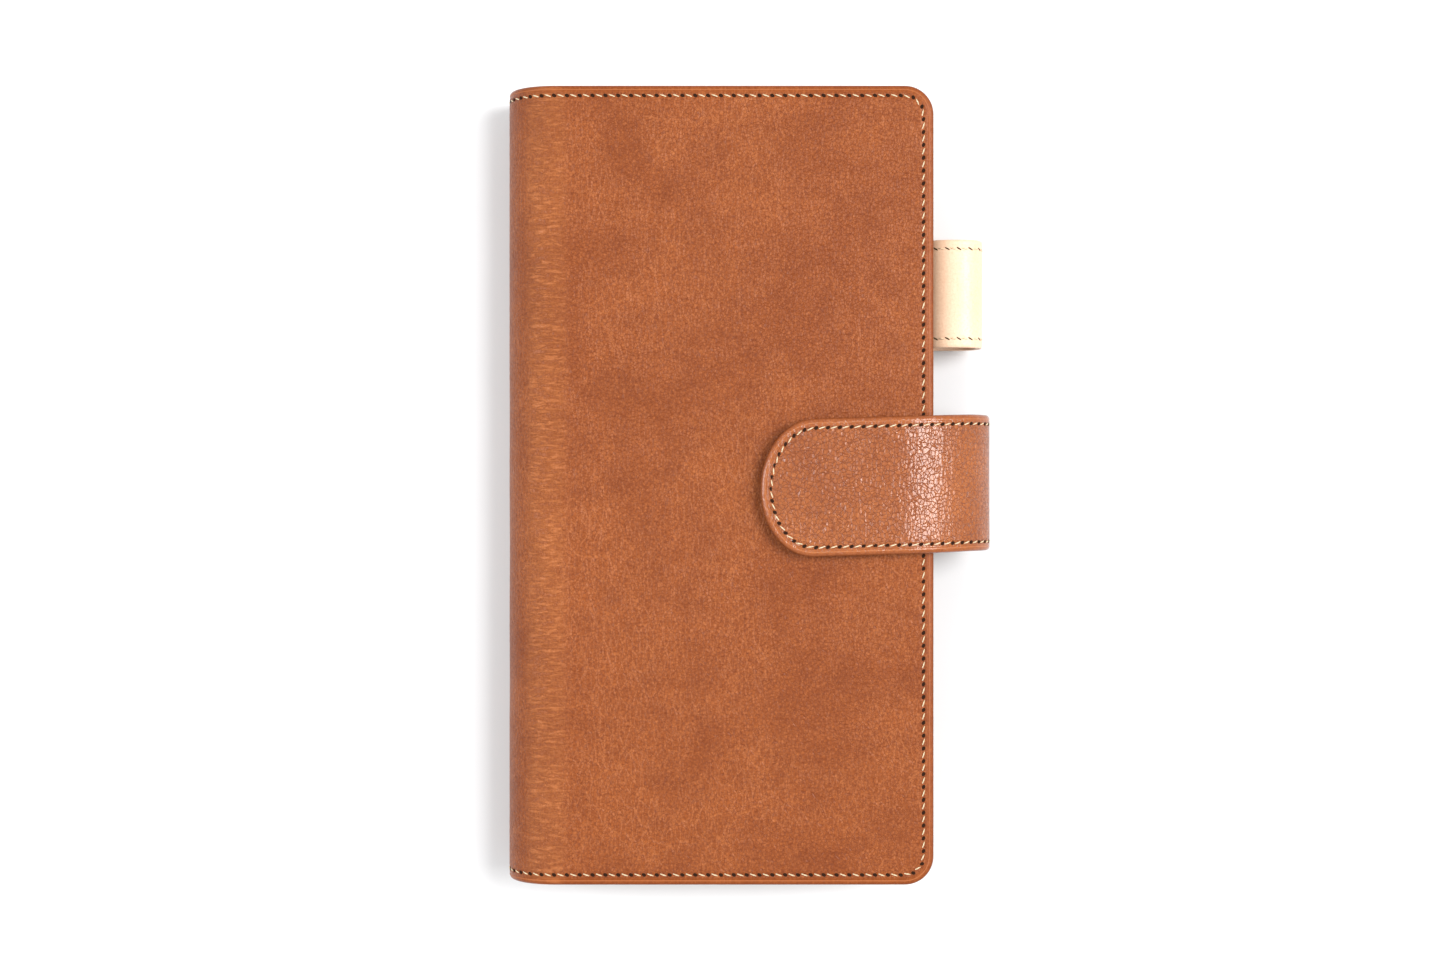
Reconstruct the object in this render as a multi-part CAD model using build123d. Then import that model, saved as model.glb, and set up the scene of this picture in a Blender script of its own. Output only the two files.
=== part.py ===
from build123d import *
import os

# Long wallet with a rounded spine, a closing strap with a hidden snap, a pen loop and a zipped coin pocket.
# It lies on its back cover. Units are mm, +X points to the fore-edge, +Y along the spine, +Z up to the front cover.
# The origin is the bottom centre of the whole wallet's bounding box.

# ---- Overall sizes ----
cover_length = 195.0        # along the spine
cover_width = 104.5         # outside of the spine to the fore-edge
thickness = 24.0            # outside of one cover to the outside of the other
corner_radius = 7.0         # fore-edge corners

# ---- Cover layers, from the outside in ----
leather_t = 1.4
board_t = 0.8
lining_t = 1.0

# ---- Closing strap ----
strap_width = 33.4
strap_reach = 42.3          # fore-edge to the tip, over the front cover
strap_straight = 0.65       # fore-edge to where the strap's fold begins
strap_outer_t = 1.4
strap_lining_t = 1.2
strap_gap = 1.95            # front cover to the underside of the strap
strap_root_lift = 0.45      # table to the underside of the strap at its root
strap_tip_length = 13.0     # length of the rounded tip
strap_skew = 1.7            # degrees that the strap is laid off square
strap_offset = 0.6          # middle of the strap at its fold, along the spine
strap_tongue = 18.0         # length of the root sewn between leather and lining

# ---- Snap ----
snap_from_tip = 15.0        # tip of the strap to the snap's axis
snap_socket_r = 6.0
snap_cap_r = 6.2
snap_stud_r = 5.5
snap_ball_r = 2.1
snap_recess_r = 2.8

# ---- Pen loop ----
loop_bore_r = 5.5
loop_lining_t = 0.85
loop_leather_t = 0.85
loop_width = 26.7
loop_middle_y = 47.45
loop_stand_off = 13.5       # fore-edge to the outermost point of the loop
loop_tongue = 12.0

# ---- Pockets ----
pocket_end_margin = 5.5     # end of the cover to the end of the pockets
pocket_wall_t = 0.8
pocket_margin = 8.9         # fore-edge to the mouths of the pockets
gusset_fold = 5.0           # how far a gusset's fold reaches in
gusset_t = 1.2              # along the spine, so about half of this across the sheet
card_tiers = 4
card_leather_t = 0.6
card_gap = 0.8
card_end_margin = 2.5       # end of the pockets to the first column of slots
card_column_gap = 3.0       # between the two columns of slots
card_depth = 52.0
card_step = 12.0            # from one slot's mouth to the next
card_margin = 4.9           # fore-edge to the first slot's mouth
inner_clearance = 1.2       # card slots to the coin pocket when the wallet is closed

# ---- Zip ----
tape_t = 0.5
tape_width = 9.5
coil_t = 1.4
coil_split = 0.6            # between the two halves of the coil
slider_length = 9.0
slider_plate_t = 0.8
pull_length = 17.0
zip_end_margin = 10.0       # pocket's end to the zip stop's far side

# ---- Derived positions ----
strap_t = strap_outer_t + strap_lining_t
strap_top = thickness + strap_gap + strap_t
strap_r = (strap_top - strap_root_lift) / 2
strap_stand_off = strap_straight + strap_r
fore_x = cover_width - (cover_width + strap_stand_off) / 2
spine_x = fore_x - cover_width
spine_r = thickness / 2
arc_x = spine_x + spine_r
wall_t = leather_t + board_t + lining_t
spine_wall_t = leather_t + lining_t
end_y = cover_length / 2

strap_z = strap_root_lift + strap_r
strap_x = fore_x + strap_straight
tip_x = fore_x - strap_reach
snap_x = tip_x + snap_from_tip
snap_y = strap_offset - 1.5

card_stack_t = card_tiers * (card_leather_t + card_gap)
pocket_gap = (thickness - 2 * wall_t - card_stack_t - inner_clearance - 2 * pocket_wall_t) / 2
pocket_x0 = arc_x + 2.6
pocket_x1 = fore_x - pocket_margin
pocket_y = end_y - pocket_end_margin
card_width = pocket_y - card_end_margin - card_column_gap / 2
bill_z0 = wall_t
bill_z1 = bill_z0 + pocket_gap
coin_z0 = bill_z1 + pocket_wall_t
coin_z1 = coin_z0 + pocket_gap
coin_mid = (coin_z0 + coin_z1) / 2
card_z1 = thickness - wall_t


# ---- Helpers ----
def box(x0, x1, y0, y1, z0, z1):
    return Pos((x0 + x1) / 2, (y0 + y1) / 2, (z0 + z1) / 2) * Box(x1 - x0, y1 - y0, z1 - z0)


def disc(x, y, radius, z0, z1):
    return Pos(x, y, (z0 + z1) / 2) * Cylinder(radius, z1 - z0)


def along_y(profile, y0, y1):
    """Extrude a profile drawn in X and Z from y0 to y1."""
    return Pos(0, y1, 0) * extrude(Plane.XZ * profile, amount=y1 - y0)


def arc_band(x, z, r_in, r_out, start, turn):
    """Profile of a curved sheet: part of a ring about (x, z)."""
    outer = CenterArc((x, z), r_out, start, turn)
    inner = CenterArc((x, z), r_in, start, turn)
    return make_face([outer, Line(outer @ 1, inner @ 1), inner, Line(inner @ 0, outer @ 0)])


def flip(part):
    """Turn a back cover piece into the matching front cover piece."""
    return mirror(part, about=Plane.XY.offset(thickness / 2))


def save(name, part):
    part.label = name
    export_step(part, f"parts/{name}.step")


os.makedirs("parts", exist_ok=True)

# ---- Covers and spine ----
cover_plan = Pos((spine_x + fore_x) / 2, 0) * Rectangle(cover_width, cover_length)
cover_plan = fillet(cover_plan.vertices().group_by(Axis.X)[-1], corner_radius)
cover_block = extrude(cover_plan, amount=thickness)


def cover_layer(depth_out, depth_in):
    """One layer of the back cover: flat, then an eighth of a turn up into the spine."""
    outer = CenterArc((arc_x, spine_r), spine_r - depth_out, 225, 45)
    inner = CenterArc((arc_x, spine_r), spine_r - depth_in, 225, 45)
    edge_out = (fore_x, depth_out)
    edge_in = (fore_x, depth_in)
    profile = make_face([outer, Line(outer @ 1, edge_out), Line(edge_out, edge_in),
                         Line(edge_in, inner @ 1), inner, Line(inner @ 0, outer @ 0)])
    return along_y(profile, -end_y, end_y) & cover_block


def lining_layer():
    """The lining follows the board on the flat and steps down to the leather in the spine."""
    flat = box(arc_x, fore_x, -end_y, end_y, leather_t + board_t, wall_t)
    step = box(arc_x, arc_x + 1.6, -end_y, end_y, leather_t, wall_t)
    bend = along_y(arc_band(arc_x, spine_r, spine_r - spine_wall_t, spine_r - leather_t, 225, 45), -end_y, end_y)
    return (flat + step + bend) & cover_block


strap_y0 = strap_offset - strap_width / 2
strap_y1 = strap_offset + strap_width / 2
loop_y0 = loop_middle_y - loop_width / 2
loop_y1 = loop_middle_y + loop_width / 2

board = box(arc_x + 1.6, fore_x, -end_y, end_y, leather_t, leather_t + board_t) & cover_block
tongue_slot = box(fore_x - strap_tongue, fore_x + 1, strap_y0, strap_y1, 0, wall_t)
loop_slot = box(fore_x - loop_tongue, fore_x + 1, loop_y0, loop_y1, 0, wall_t)

save("back_leather", cover_layer(0, leather_t))
save("back_board", board - tongue_slot - loop_slot)
save("back_lining", lining_layer())

spine_band = arc_band(arc_x, spine_r, spine_r - leather_t, spine_r, 135, 90)
save("spine_leather", along_y(spine_band, -end_y, end_y))
spine_band = arc_band(arc_x, spine_r, spine_r - spine_wall_t, spine_r - leather_t, 135, 90)
save("spine_lining", along_y(spine_band, -end_y, end_y))

# ---- Snap stud on the front cover ----
front_z = thickness
leather_in = thickness - leather_t
rivet_flange_t = 0.5
shank = disc(snap_x, snap_y, 1.4, leather_in, front_z + 1.3)
rivet = shank + disc(snap_x, snap_y, 5.0, leather_in - rivet_flange_t, leather_in)
stud = disc(snap_x, snap_y, snap_stud_r, front_z, front_z + 0.5)
stud += disc(snap_x, snap_y, snap_ball_r - 0.2, front_z + 0.5, front_z + 1.9)
stud += disc(snap_x, snap_y, snap_ball_r, front_z + 1.1, front_z + 1.7)
stud -= shank

save("front_leather", flip(cover_layer(0, leather_t)) - disc(snap_x, snap_y, 1.4, leather_in - 1, front_z + 1))
save("front_board", flip(board) - disc(snap_x, snap_y, 5.0, leather_in - rivet_flange_t, front_z))
save("front_lining", flip(lining_layer()))
save("snap_stud", stud)
save("snap_stud_rivet", rivet)

# ---- Strap: root, fold and flap ----
root_x = fore_x + 0.1
tongue_mid = leather_t + board_t / 2
ply = strap_r - strap_outer_t


def strap_ply(r_in, r_out, start, turn):
    return along_y(arc_band(strap_x, strap_z, r_in, r_out, start, turn), strap_y0, strap_y1)


base_outer = strap_ply(ply, strap_r, 270, 45)
base_outer += box(root_x, strap_x, strap_y0, strap_y1, strap_z - strap_r, strap_z - ply)
base_outer += box(fore_x - strap_tongue, root_x, strap_y0, strap_y1, leather_t, tongue_mid)
base_lining = strap_ply(strap_r - strap_t, ply, 270, 45)
base_lining += box(root_x, strap_x, strap_y0, strap_y1, strap_z - ply, strap_z - strap_r + strap_t)
base_lining += box(fore_x - strap_tongue, root_x, strap_y0, strap_y1, tongue_mid, leather_t + board_t)
save("strap_base_outer", base_outer)
save("strap_base_lining", base_lining)
save("strap_bend_outer", strap_ply(ply, strap_r, -45, 90))
save("strap_bend_lining", strap_ply(strap_r - strap_t, ply, -45, 90))

flap_end = strap_x + strap_r + 1
tip = Pos(tip_x + strap_tip_length, 0) * Ellipse(strap_tip_length, strap_width / 2)
flap_plan = tip + Pos((tip_x + strap_tip_length + flap_end) / 2, 0) * Rectangle(
    flap_end - tip_x - strap_tip_length, strap_width)
flap_turn = Pos(strap_x + strap_r, strap_offset) * Rot(0, 0, strap_skew) * Pos(-strap_x - strap_r, 0)
flap_block = flap_turn * extrude(flap_plan, amount=strap_top + 1)


def flap_ply(r_in, r_out):
    """One ply of the flap: an eighth of a turn over the fore-edge, then flat to the tip."""
    bend = along_y(arc_band(strap_x, strap_z, r_in, r_out, 45, 45), -end_y, end_y)
    return (bend + box(tip_x - 1, strap_x, -end_y, end_y, strap_z + r_in, strap_z + r_out)) & flap_block


under = thickness + strap_gap
cap_z0 = under + strap_lining_t - 0.5
socket = disc(snap_x, snap_y, snap_socket_r, under - 1.2, under) + disc(snap_x, snap_y, 4.0, under, cap_z0)
socket -= disc(snap_x, snap_y, snap_recess_r, under - 2, cap_z0 - 0.25)
cap = disc(snap_x, snap_y, snap_cap_r, cap_z0, under + strap_lining_t)
save("strap_flap_outer", flap_ply(ply, strap_r))
save("strap_flap_lining", flap_ply(strap_r - strap_t, ply) - disc(snap_x, snap_y, 4.0, under - 1, cap_z0) - cap)
save("snap_socket", socket)
save("snap_cap", cap)

# ---- Pen loop ----
loop_r = loop_bore_r + loop_lining_t + loop_leather_t
loop_x = fore_x + loop_stand_off - loop_r
loop_z = leather_t + loop_r
loop_ply = loop_bore_r + loop_lining_t
loop_ring = Pos(loop_x, loop_z) * (Circle(loop_r) - Circle(loop_ply))
loop_body = along_y(loop_ring, loop_y0, loop_y1)
loop_body += box(fore_x - loop_tongue, loop_x, loop_y0, loop_y1, leather_t, leather_t + board_t)
save("pen_loop_leather", loop_body)
loop_ring = Pos(loop_x, loop_z) * (Circle(loop_ply) - Circle(loop_bore_r))
save("pen_loop_lining", along_y(loop_ring, loop_y0, loop_y1))


# ---- Bill compartment and coin pocket ----
def gusset(z0, z1, x1):
    """A folded end piece, standing between two walls at the +Y end."""
    middle = (z0 + z1) / 2
    out = pocket_y
    fold = pocket_y - gusset_fold
    sheet = Polyline((out, z0), (fold, middle), (out, z1), (out - gusset_t, z1),
                     (fold - gusset_t, middle), (out - gusset_t, z0), close=True)
    return Pos(pocket_x0 + pocket_wall_t, 0, 0) * extrude(Plane.YZ * make_face(sheet), amount=x1 - pocket_x0 - pocket_wall_t)


tape_x0 = pocket_x1 - tape_width + 0.5
gusset_x1 = tape_x0 - 0.5
for name, z0, z1 in (("bill", bill_z0, bill_z1), ("coin", coin_z0, coin_z1)):
    end = gusset(z0, z1, gusset_x1)
    save(f"{name}_gusset_top", end)
    save(f"{name}_gusset_bottom", mirror(end, about=Plane.XZ))
    save(f"{name}_spine_edge", box(pocket_x0, pocket_x0 + pocket_wall_t, -pocket_y, pocket_y, z0, z1))

save("coin_rear_wall", box(pocket_x0, pocket_x1, -pocket_y, pocket_y, bill_z1, coin_z0))
save("coin_front_wall", box(pocket_x0, pocket_x1, -pocket_y, pocket_y, coin_z1, coin_z1 + pocket_wall_t))

# ---- Card slots inside the front cover ----
for tier in range(card_tiers):
    z1 = card_z1 - tier * (card_leather_t + card_gap)
    z0 = z1 - card_leather_t - card_gap
    mouth = fore_x - card_margin - tier * card_step
    floor = max(mouth - card_depth, pocket_x0 + 2)
    slot = box(pocket_x0, mouth, -pocket_y, pocket_y, z0, z1)
    for side in (-1, 1):
        y = side * (card_width + card_column_gap) / 2
        slot -= box(floor, mouth + 1, y - card_width / 2, y + card_width / 2, z1 - card_gap, z1 + 1)
    save(f"card_slot_{tier + 1}", slot)

# ---- Zip across the mouth of the coin pocket ----
lip_x1 = pocket_x1 + tape_t
coil_x1 = lip_x1 + coil_t
coil_w = 0.24 * pocket_gap
tape_end = pocket_y - 4
coil_end = pocket_y - zip_end_margin + 2
coil_z0 = coin_mid - coil_split / 2 - coil_w
tape = box(tape_x0, lip_x1, -tape_end, tape_end, coin_z0, coin_z0 + tape_t)
tape += box(pocket_x1, lip_x1, -tape_end, tape_end, coin_z0, coin_mid - coil_split / 2 - 0.1)
coil = box(lip_x1, coil_x1, -coil_end, coil_end, coil_z0, coin_mid - coil_split / 2)
middle = Plane.XY.offset(coin_mid)
save("zip_tape_rear", tape)
save("zip_tape_front", mirror(tape, about=middle))
save("zip_coil_rear", coil)
save("zip_coil_front", mirror(coil, about=middle))

stop_w = coil_w + coil_split / 2 + 0.2
stop = box(coil_x1, coil_x1 + 0.5, coil_end - 2.5, coil_end, coin_mid - stop_w, coin_mid + stop_w)
save("zip_stop_top", stop)
save("zip_stop_bottom", mirror(stop, about=Plane.XZ))

# The slider waits at the -Y end, with its pull lying along the coil.
slider_y = -(coil_end - 2.5 - 1.0 - slider_length / 2)
front_x0 = coil_x1 + 0.1
front_x1 = front_x0 + slider_plate_t
rear_x1 = pocket_x1 - 0.2
plate_w = stop_w + 0.3
rear_w = pocket_gap / 2 - tape_t - 0.2
bar_x = front_x1 + 1.5
y0 = slider_y - slider_length / 2
y1 = slider_y + slider_length / 2
slider = box(front_x0, front_x1, y0, y1, coin_mid - plate_w, coin_mid + plate_w)
slider += box(rear_x1 - slider_plate_t, rear_x1, y0, y1, coin_mid - rear_w, coin_mid + rear_w)
slider += box(rear_x1, front_x0, slider_y - 1.5, slider_y + 1.5, coin_mid - 0.2, coin_mid + 0.2)
for side in (-1, 1):
    inner = coin_mid + side * (plate_w - 0.4)
    outer = coin_mid + side * plate_w
    slider += box(lip_x1 + 0.4, front_x0, y0, y1, min(inner, outer), max(inner, outer))
    post = coin_mid + side * 1.65
    slider += box(front_x1, bar_x + 0.6, slider_y - 0.9, slider_y + 0.9, post - 0.25, post + 0.25)
slider += Pos(bar_x, slider_y, coin_mid) * Cylinder(0.6, 3.0)
save("zip_slider", slider)

eye = Pos(bar_x, slider_y, coin_mid) * Cylinder(1.3, 2.4)
blade = box(bar_x - 0.4, bar_x + 0.4, slider_y + 0.9, slider_y + pull_length, coin_mid - 1.5, coin_mid + 1.5)
blade -= Pos(bar_x, slider_y + pull_length - 2.5, coin_mid) * Rot(0, 90, 0) * Cylinder(0.7, 2)
waist = box(bar_x - 1.4, bar_x + 1.4, slider_y - 2, slider_y + 2.4, coin_mid + 1.2, coin_mid + 2)
blade -= waist + mirror(waist, about=middle)
save("zip_pull", eye + blade - Pos(bar_x, slider_y, coin_mid) * Cylinder(0.7, 4))
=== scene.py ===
# %% [markdown]
# # A long leather wallet, piece by piece
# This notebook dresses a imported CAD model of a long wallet: a tan cover wrapped round a rounded spine, a
# closing strap, a pale pen loop, card slots, a bill compartment and a zipped coin pocket. The CAD model is
# the frame. It says where each piece sits and which body it moves with, so every shape below starts from
# its sizes.

# %% Load the frame
import bpy
import bmesh
import numpy as np
from math import pi, radians
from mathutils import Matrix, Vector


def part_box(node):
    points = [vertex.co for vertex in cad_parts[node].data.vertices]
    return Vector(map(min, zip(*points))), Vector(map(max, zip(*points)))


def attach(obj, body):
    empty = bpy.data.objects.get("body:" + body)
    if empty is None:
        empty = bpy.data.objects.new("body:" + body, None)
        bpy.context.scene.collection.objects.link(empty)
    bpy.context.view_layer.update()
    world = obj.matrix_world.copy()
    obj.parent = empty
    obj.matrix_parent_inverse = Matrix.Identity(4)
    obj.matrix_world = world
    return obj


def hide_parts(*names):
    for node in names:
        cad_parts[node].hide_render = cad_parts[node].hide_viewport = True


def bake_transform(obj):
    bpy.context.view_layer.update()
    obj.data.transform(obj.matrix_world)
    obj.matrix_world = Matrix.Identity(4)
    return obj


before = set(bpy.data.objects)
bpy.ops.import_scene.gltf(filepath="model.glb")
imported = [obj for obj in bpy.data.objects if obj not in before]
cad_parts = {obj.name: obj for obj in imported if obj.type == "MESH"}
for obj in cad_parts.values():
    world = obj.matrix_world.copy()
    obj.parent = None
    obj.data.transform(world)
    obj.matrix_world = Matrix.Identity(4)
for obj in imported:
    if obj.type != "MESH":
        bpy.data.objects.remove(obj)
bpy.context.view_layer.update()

# %% [markdown]
# Everything is worked out in millimetres and turned into metres when a mesh is made. The boxes of the CAD
# nodes give the wallet's own sizes, so only a few thicknesses and the card slots' sizes are written here
# again.

# %% Sizes read from the frame
MM = 0.001


def span(node):
    """Lowest and highest corner of a CAD node, in millimetres."""
    low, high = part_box(node)
    return np.array(low) / MM, np.array(high) / MM


fore_x, half_length, leather_in = span("back_leather")[1][0], span("back_leather")[1][1], 1.4
thickness = span("front_leather")[1][2]
spine_x = span("spine_leather")[0][0]
spine_r = thickness / 2
arc_x = spine_x + spine_r
flat_run = fore_x - arc_x
spine_run = pi * spine_r
cover_run = 2 * flat_run + spine_run
wall = 3.2
print("cover, developed length:", round(cover_run, 1), "mm")

# %% [markdown]
# ## Surfaces on a grid
# A sheet of leather is a grid of points. Rows run along the sheet and columns across it. Two grids, the
# grain side and the flesh side, are joined by a wall round their rims, which gives a closed sheet with real
# thickness. Rows and columns crowd together near the rim, because that is where the edge rounds over.


# %% Meshes from arrays
def make_piece(name, points, faces, material, uv=None, sharp=50, smooth=True, rim=None):
    """A mesh object from points in mm. Doubles are merged, then the faces are turned to point outwards. rim is
    a number for each point that says how near it is to a worked edge: 1 at the edge, 0 from 3 mm in."""
    mesh = bpy.data.meshes.new(name)
    mesh.from_pydata((np.asarray(points) * MM).tolist(), [], np.asarray(faces).tolist())
    if uv is not None:
        layer = mesh.uv_layers.new(name="sheet")
        corner = np.zeros(len(mesh.loops), np.int32)
        mesh.loops.foreach_get("vertex_index", corner)
        layer.data.foreach_set("uv", (np.asarray(uv)[corner] * MM * 10).astype(np.float32).ravel())
    if rim is not None:
        worked = mesh.attributes.new("rim", "FLOAT", "POINT").data
        worked.foreach_set("value", np.asarray(rim, np.float32).ravel())
    work = bmesh.new()
    work.from_mesh(mesh)
    bmesh.ops.remove_doubles(work, verts=work.verts, dist=2e-6)
    bmesh.ops.dissolve_degenerate(work, edges=work.edges, dist=1e-7)
    bmesh.ops.recalc_face_normals(work, faces=work.faces)
    work.to_mesh(mesh)
    work.free()
    if smooth:
        mesh.shade_smooth()
        mesh.set_sharp_from_angle(angle=radians(sharp))
    mesh.materials.append(material)
    piece = bpy.data.objects.new(name, mesh)
    bpy.context.scene.collection.objects.link(piece)
    return piece


def grid_quads(rows, columns, start=0):
    """Four corners of each cell of a grid of points numbered row by row."""
    i = np.arange(rows * columns).reshape(rows, columns) + start
    return np.stack([i[:-1, :-1], i[1:, :-1], i[1:, 1:], i[:-1, 1:]], -1).reshape(-1, 4)


def closed_sheet(name, place, along, across, top, bottom, material, sharp=50, edge=None):
    """A closed sheet. place(s, y, h) puts a developed point at height h over the path. top and bottom give h,
    and edge the distance to the outline."""
    s, y = along, across
    upper, lower = place(s, y, top), place(s, y, bottom)
    rows, columns = s.shape
    count = rows * columns
    i = np.arange(count).reshape(rows, columns)
    rim = np.concatenate([i[0, :], i[1:, -1], i[-1, -2::-1], i[-2:0:-1, 0]])
    after = np.roll(rim, -1)
    walls = np.stack([rim, after, after + count, rim + count], -1)
    faces = np.concatenate([grid_quads(rows, columns), grid_quads(rows, columns, count)[:, ::-1], walls])
    points = np.concatenate([upper.reshape(-1, 3), lower.reshape(-1, 3)])
    uv = np.tile(np.stack([s.ravel(), y.ravel()], -1), (2, 1))
    rim_share = None if edge is None else np.tile(np.clip(1 - edge / 3, 0, 1).ravel(), 2)
    return make_piece(name, points, faces, material, uv, sharp, rim=rim_share)


# %% Edges: spacing, round-over, crease
EDGE_STEPS = np.array([0, .02, .08, .17, .3, .45, .62, .8, .95, 1.06, 1.15, 1.24, 1.35, 1.55, 1.85, 2.1,
                       2.3, 2.42, 2.54, 2.7, 2.95, 3.4, 4.2, 5.4])


def both_edges(length, step=2.2):
    """Places from 0 to length, crowded at both ends and evenly spaced between."""
    middle = np.linspace(EDGE_STEPS[-1], length - EDGE_STEPS[-1], max(3, int(length / step)))
    return np.concatenate([EDGE_STEPS, middle[1:-1], length - EDGE_STEPS[::-1]])


def round_over(distance, width, drop):
    """A quarter of an ellipse: the edge falls by drop over width, and the sheet is flat past it."""
    q = np.clip(1 - distance / width, 0, 1)
    return drop * (1 - np.sqrt(1 - q * q))


def groove(distance, middle, depth, width):
    """A bell-shaped groove that runs along the edge at a set distance from it."""
    return depth * np.exp(-((distance - middle) / width) ** 2)


def step_up(x, a, b):
    """0 before a, 1 after b, and a smooth S between."""
    t = np.clip((x - a) / (b - a), 0, 1)
    return t * t * (3 - 2 * t)


# %% [markdown]
# ## Paths
# The cover is one long sheet folded round the spine. Its path starts at the front cover's fore-edge, runs
# flat to the spine, turns half a circle and runs back along the table. The strap does the same round the
# fore-edge, with a longer oval in its upper quarter. On either path, a point is found from the distance
# along it, the distance across it, and the height over it.


# %% The cover's path
def cover_place(s, y, h):
    """Flat run at the front's height, then half a circle of the spine's radius, then flat on the table.
    h is added along the outward normal."""
    s, y, h = np.broadcast_arrays(s, y, h)
    turn = np.clip((s - flat_run) / spine_r, 0, pi)
    front = np.clip(flat_run - s, 0, None)
    back = np.clip(s - flat_run - spine_run, 0, None)
    x = arc_x + front + back - (spine_r + h) * np.sin(turn)
    z = spine_r + (spine_r + h) * np.cos(turn)
    return np.stack([x, y, z], -1)


strap_lo, strap_hi = span("strap_flap_outer")
strap_fold_x = span("strap_bend_outer")[1][0]
root_z = span("strap_base_outer")[0][2]
strap_r = (strap_hi[2] - root_z) / 2
strap_x, strap_z = strap_fold_x - strap_r, root_z + strap_r
strap_y0, strap_y1 = span("strap_bend_outer")[0][1], span("strap_bend_outer")[1][1]
strap_mid, strap_half = (strap_y0 + strap_y1) / 2, (strap_y1 - strap_y0) / 2
flap_run = strap_x - strap_lo[0]
strap_end = flap_run + pi * strap_r + 2.2
SKEW = 0.0297
STRAP_T = 2.6
EARLY = 10.0
oval_t = np.linspace(0, pi / 2, 400)
oval_run = np.concatenate([[0], np.cumsum(np.hypot(np.diff((strap_r + EARLY) * np.sin(oval_t)),
                                                   np.diff(strap_r * np.cos(oval_t))))])
print("strap radius", round(strap_r, 2), "mm, flat run", round(flap_run, 1), "mm")


def strap_place(s, y, h):
    """Distance along the strap runs from its tip: flat, round the fore-edge, then the root. The upper quarter
    of the turn starts early and is an oval, EARLY mm longer than high. A point on it has the angle t at which
    the oval's run matches. The lower quarter is a circle. h goes out along the normal, (b sin t, a cos t) made
    unit.
    The strap is laid a little off square, so its middle line drifts across as it goes."""
    s, y, h = np.broadcast_arrays(s, y, h)
    flat = np.clip(flap_run - EARLY - s, 0, None)
    low = np.clip((s - flap_run) / strap_r, pi / 2, pi)
    root = np.clip(s - flap_run - pi * strap_r, 0, None)
    quarter = EARLY + strap_r * pi / 2
    t = np.interp(np.clip(s - flap_run + EARLY, 0, quarter) / quarter, oval_run / oval_run[-1], oval_t)
    a = np.where(low > pi / 2, strap_r, strap_r + EARLY)
    t = np.where(low > pi / 2, low, t)
    norm = np.hypot(strap_r * np.sin(t), a * np.cos(t))
    x = strap_x + strap_r - a - flat - root + a * np.sin(t) + h * strap_r * np.sin(t) / norm
    z = strap_z + strap_r * np.cos(t) + h * a * np.cos(t) / norm
    drift = -SKEW * np.clip(flap_run + strap_r * pi / 4 - s, 0, None)
    return np.stack([x, y + strap_mid + drift, z], -1)


def flat_place(z, facing=1):
    """A flat sheet: x and y are the sheet's own directions, and h is measured up or down from z."""
    return lambda s, y, h: np.stack(np.broadcast_arrays(s, y, z + facing * np.asarray(h)), -1)


# %% [markdown]
# ## Leather
# Vegetable-tanned leather is warm and never one colour. Its grain is a net of fine creases with pores in
# it, so the bump comes from cell patterns and stretched noises. Colour follows three scales: clouds of
# about three centimetres, blotches of one, and flecks under a millimetre. The covers, the strap and the
# linings read the sheet's own UV map, so the pattern goes round the folds with the leather. The pockets
# don't bend, and read their place in the object.


# %% Node helpers
def new_material(name, roughness, **settings):
    """A material with its shader's plain sockets set. Returns the material, its node tree and the shader."""
    material = bpy.data.materials.new(name)
    material.use_nodes = True
    tree = material.node_tree
    shader = tree.nodes["Principled BSDF"]
    shader.inputs["Roughness"].default_value = roughness
    for socket, value in settings.items():
        shader.inputs[socket.replace("_", " ")].default_value = value
    return material, tree, shader


def node(tree, kind, links=(), **settings):
    """One node. links gives (socket, value or output) pairs, and settings are the node's own properties."""
    made = tree.nodes.new(kind)
    for key, value in settings.items():
        setattr(made, key, value)
    for socket, value in links:
        if isinstance(value, bpy.types.NodeSocket):
            tree.links.new(value, made.inputs[socket])
        else:
            made.inputs[socket].default_value = value
    return made


def math_node(tree, operation, a, b=0.0, clamp=False):
    """The output of a math node."""
    return node(tree, "ShaderNodeMath", [(0, a), (1, b)], operation=operation, use_clamp=clamp).outputs[0]


def times(tree, a, b):
    """The product of two values."""
    return math_node(tree, "MULTIPLY", a, b)


def blend_colours(tree, factor, a, b, kind="MIX"):
    """The output of a colour mix."""
    made = node(tree, "ShaderNodeMix", [(0, factor), (6, a), (7, b)], data_type="RGBA", blend_type=kind)
    return made.outputs[2]


def noise(tree, where, scale, detail=3.0, roughness=0.55, distortion=0.0):
    """The output of a noise texture, as a number round 0.5."""
    links = [("Vector", where), ("Scale", scale), ("Detail", detail), ("Roughness", roughness),
             ("Distortion", distortion)]
    return node(tree, "ShaderNodeTexNoise", links).outputs[0]


def stretch(tree, where, scale, turn=(0, 0, 0)):
    """The coordinates stretched and turned."""
    links = [("Vector", where), ("Scale", scale), ("Rotation", turn)]
    return node(tree, "ShaderNodeMapping", links).outputs[0]


def ramp(tree, value, low, high, to_low=0.0, to_high=1.0):
    """The value carried from one range to another with a smooth S."""
    links = [("Value", value), ("From Min", low), ("From Max", high), ("To Min", to_low), ("To Max", to_high)]
    return node(tree, "ShaderNodeMapRange", links, interpolation_type="SMOOTHSTEP").outputs[0]


def add_bump(tree, shader, height, strength, distance):
    """Bends the shader's normal by a height. distance is in metres."""
    bumps = node(tree, "ShaderNodeBump", [("Height", height), ("Strength", strength), ("Distance", distance)])
    tree.links.new(bumps.outputs[0], shader.inputs["Normal"])


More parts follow.
